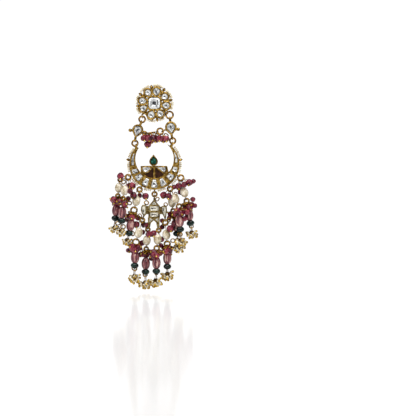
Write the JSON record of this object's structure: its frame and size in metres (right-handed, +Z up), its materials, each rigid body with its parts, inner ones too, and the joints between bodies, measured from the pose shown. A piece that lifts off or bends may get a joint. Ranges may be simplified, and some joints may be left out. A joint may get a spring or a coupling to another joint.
{
  "type": "chandbali earring",
  "caption": "Drop earring: pierced gold flower stud, pear links, jewelled crescent and a house-shaped pendant hung with oval pearls, pink beads, fluted beads and pearl sprays.",
  "frame": {"origin": "middle of the back of the stud, where it sits on the earlobe", "axes": "+Z up, the earring hangs down along -Z; the front faces -Y; +Y runs along the ear post"},
  "size_m": [0.0427, 0.0174, 0.1007],
  "materials": {
    "gold": "warm yellow gold plate, cast and lightly worn",
    "clear_stone": "foiled clear cut crystal",
    "green_stone": "dark green cut crystal",
    "seed_pearl": "small cream pearls with a soft lustre",
    "pearl": "cream oval pearls with a soft lustre",
    "pink_bead": "tumbled pink-red stone, polished",
    "melon": "fluted mauve-pink stone, translucent",
    "rondelle": "faceted dark green stone"
  },
  "bodies": {
    "stud": {"stud_frame": "gold", "ear_post": "gold", "stud_centre_stone": "clear_stone", "stud_petal_stones": "clear_stone", "stud_seed_strand": "seed_pearl"},
    "crescent": {"left_jump_ring": "gold", "right_jump_ring": "gold", "left_pear_setting": "gold", "right_pear_setting": "gold", "left_pear_stone": "clear_stone", "right_pear_stone": "clear_stone", "left_tip_ring": "gold", "right_tip_ring": "gold", "bridge_wire": "gold", "bridge_beads": "pink_bead", "crescent_frame": "gold", "crescent_stones": "clear_stone", "emerald_drop_stone": "green_stone", "side_stones": "clear_stone", "crescent_seed_strand": "seed_pearl", "pearl_1": "pearl", "pearl_2": "pearl", "pearl_3": "pearl", "pearl_4": "pearl", "pearl_5": "pearl", "pearl_6": "pearl", "melon_1": "melon", "melon_2": "melon", "melon_3": "melon", "melon_4": "melon", "melon_5": "melon", "melon_6": "melon", "left_drop_wires": "gold", "right_drop_wires": "gold", "left_pink_beads": "pink_bead", "right_pink_beads": "pink_bead", "left_rondelles": "rondelle", "right_rondelles": "rondelle", "left_sprays": "seed_pearl", "right_sprays": "seed_pearl"},
    "pendant": {"pendant_ring": "gold", "pendant_frame": "gold", "pendant_roof_stone": "clear_stone", "pendant_upper_bar_stone": "clear_stone", "pendant_lower_bar_stone": "clear_stone", "pendant_left_wing_stone": "clear_stone", "pendant_right_wing_stone": "clear_stone", "pendant_tail_stones": "clear_stone", "pendant_drop_wires": "gold", "pendant_pink_beads": "pink_bead", "pendant_rondelles": "rondelle", "pendant_sprays": "seed_pearl", "pearl_7": "pearl", "pearl_8": "pearl", "pearl_9": "pearl", "pearl_10": "pearl", "melon_7": "melon", "melon_8": "melon", "melon_9": "melon", "melon_10": "melon"}
  },
  "joints": [
    {"name": "crescent_swing", "type": "hinge", "parent": "stud", "child": "crescent", "pos_m": [-0.0061, -0.0012, -0.0065], "axis": [0.9866, 0, 0.1631], "range_deg": [-40, 40]},
    {"name": "pendant_swing", "type": "hinge", "parent": "crescent", "child": "pendant", "pos_m": [0.0001, -0.0012, -0.04425], "axis": [1, 0, 0], "range_deg": [-30, 45]}
  ]
}
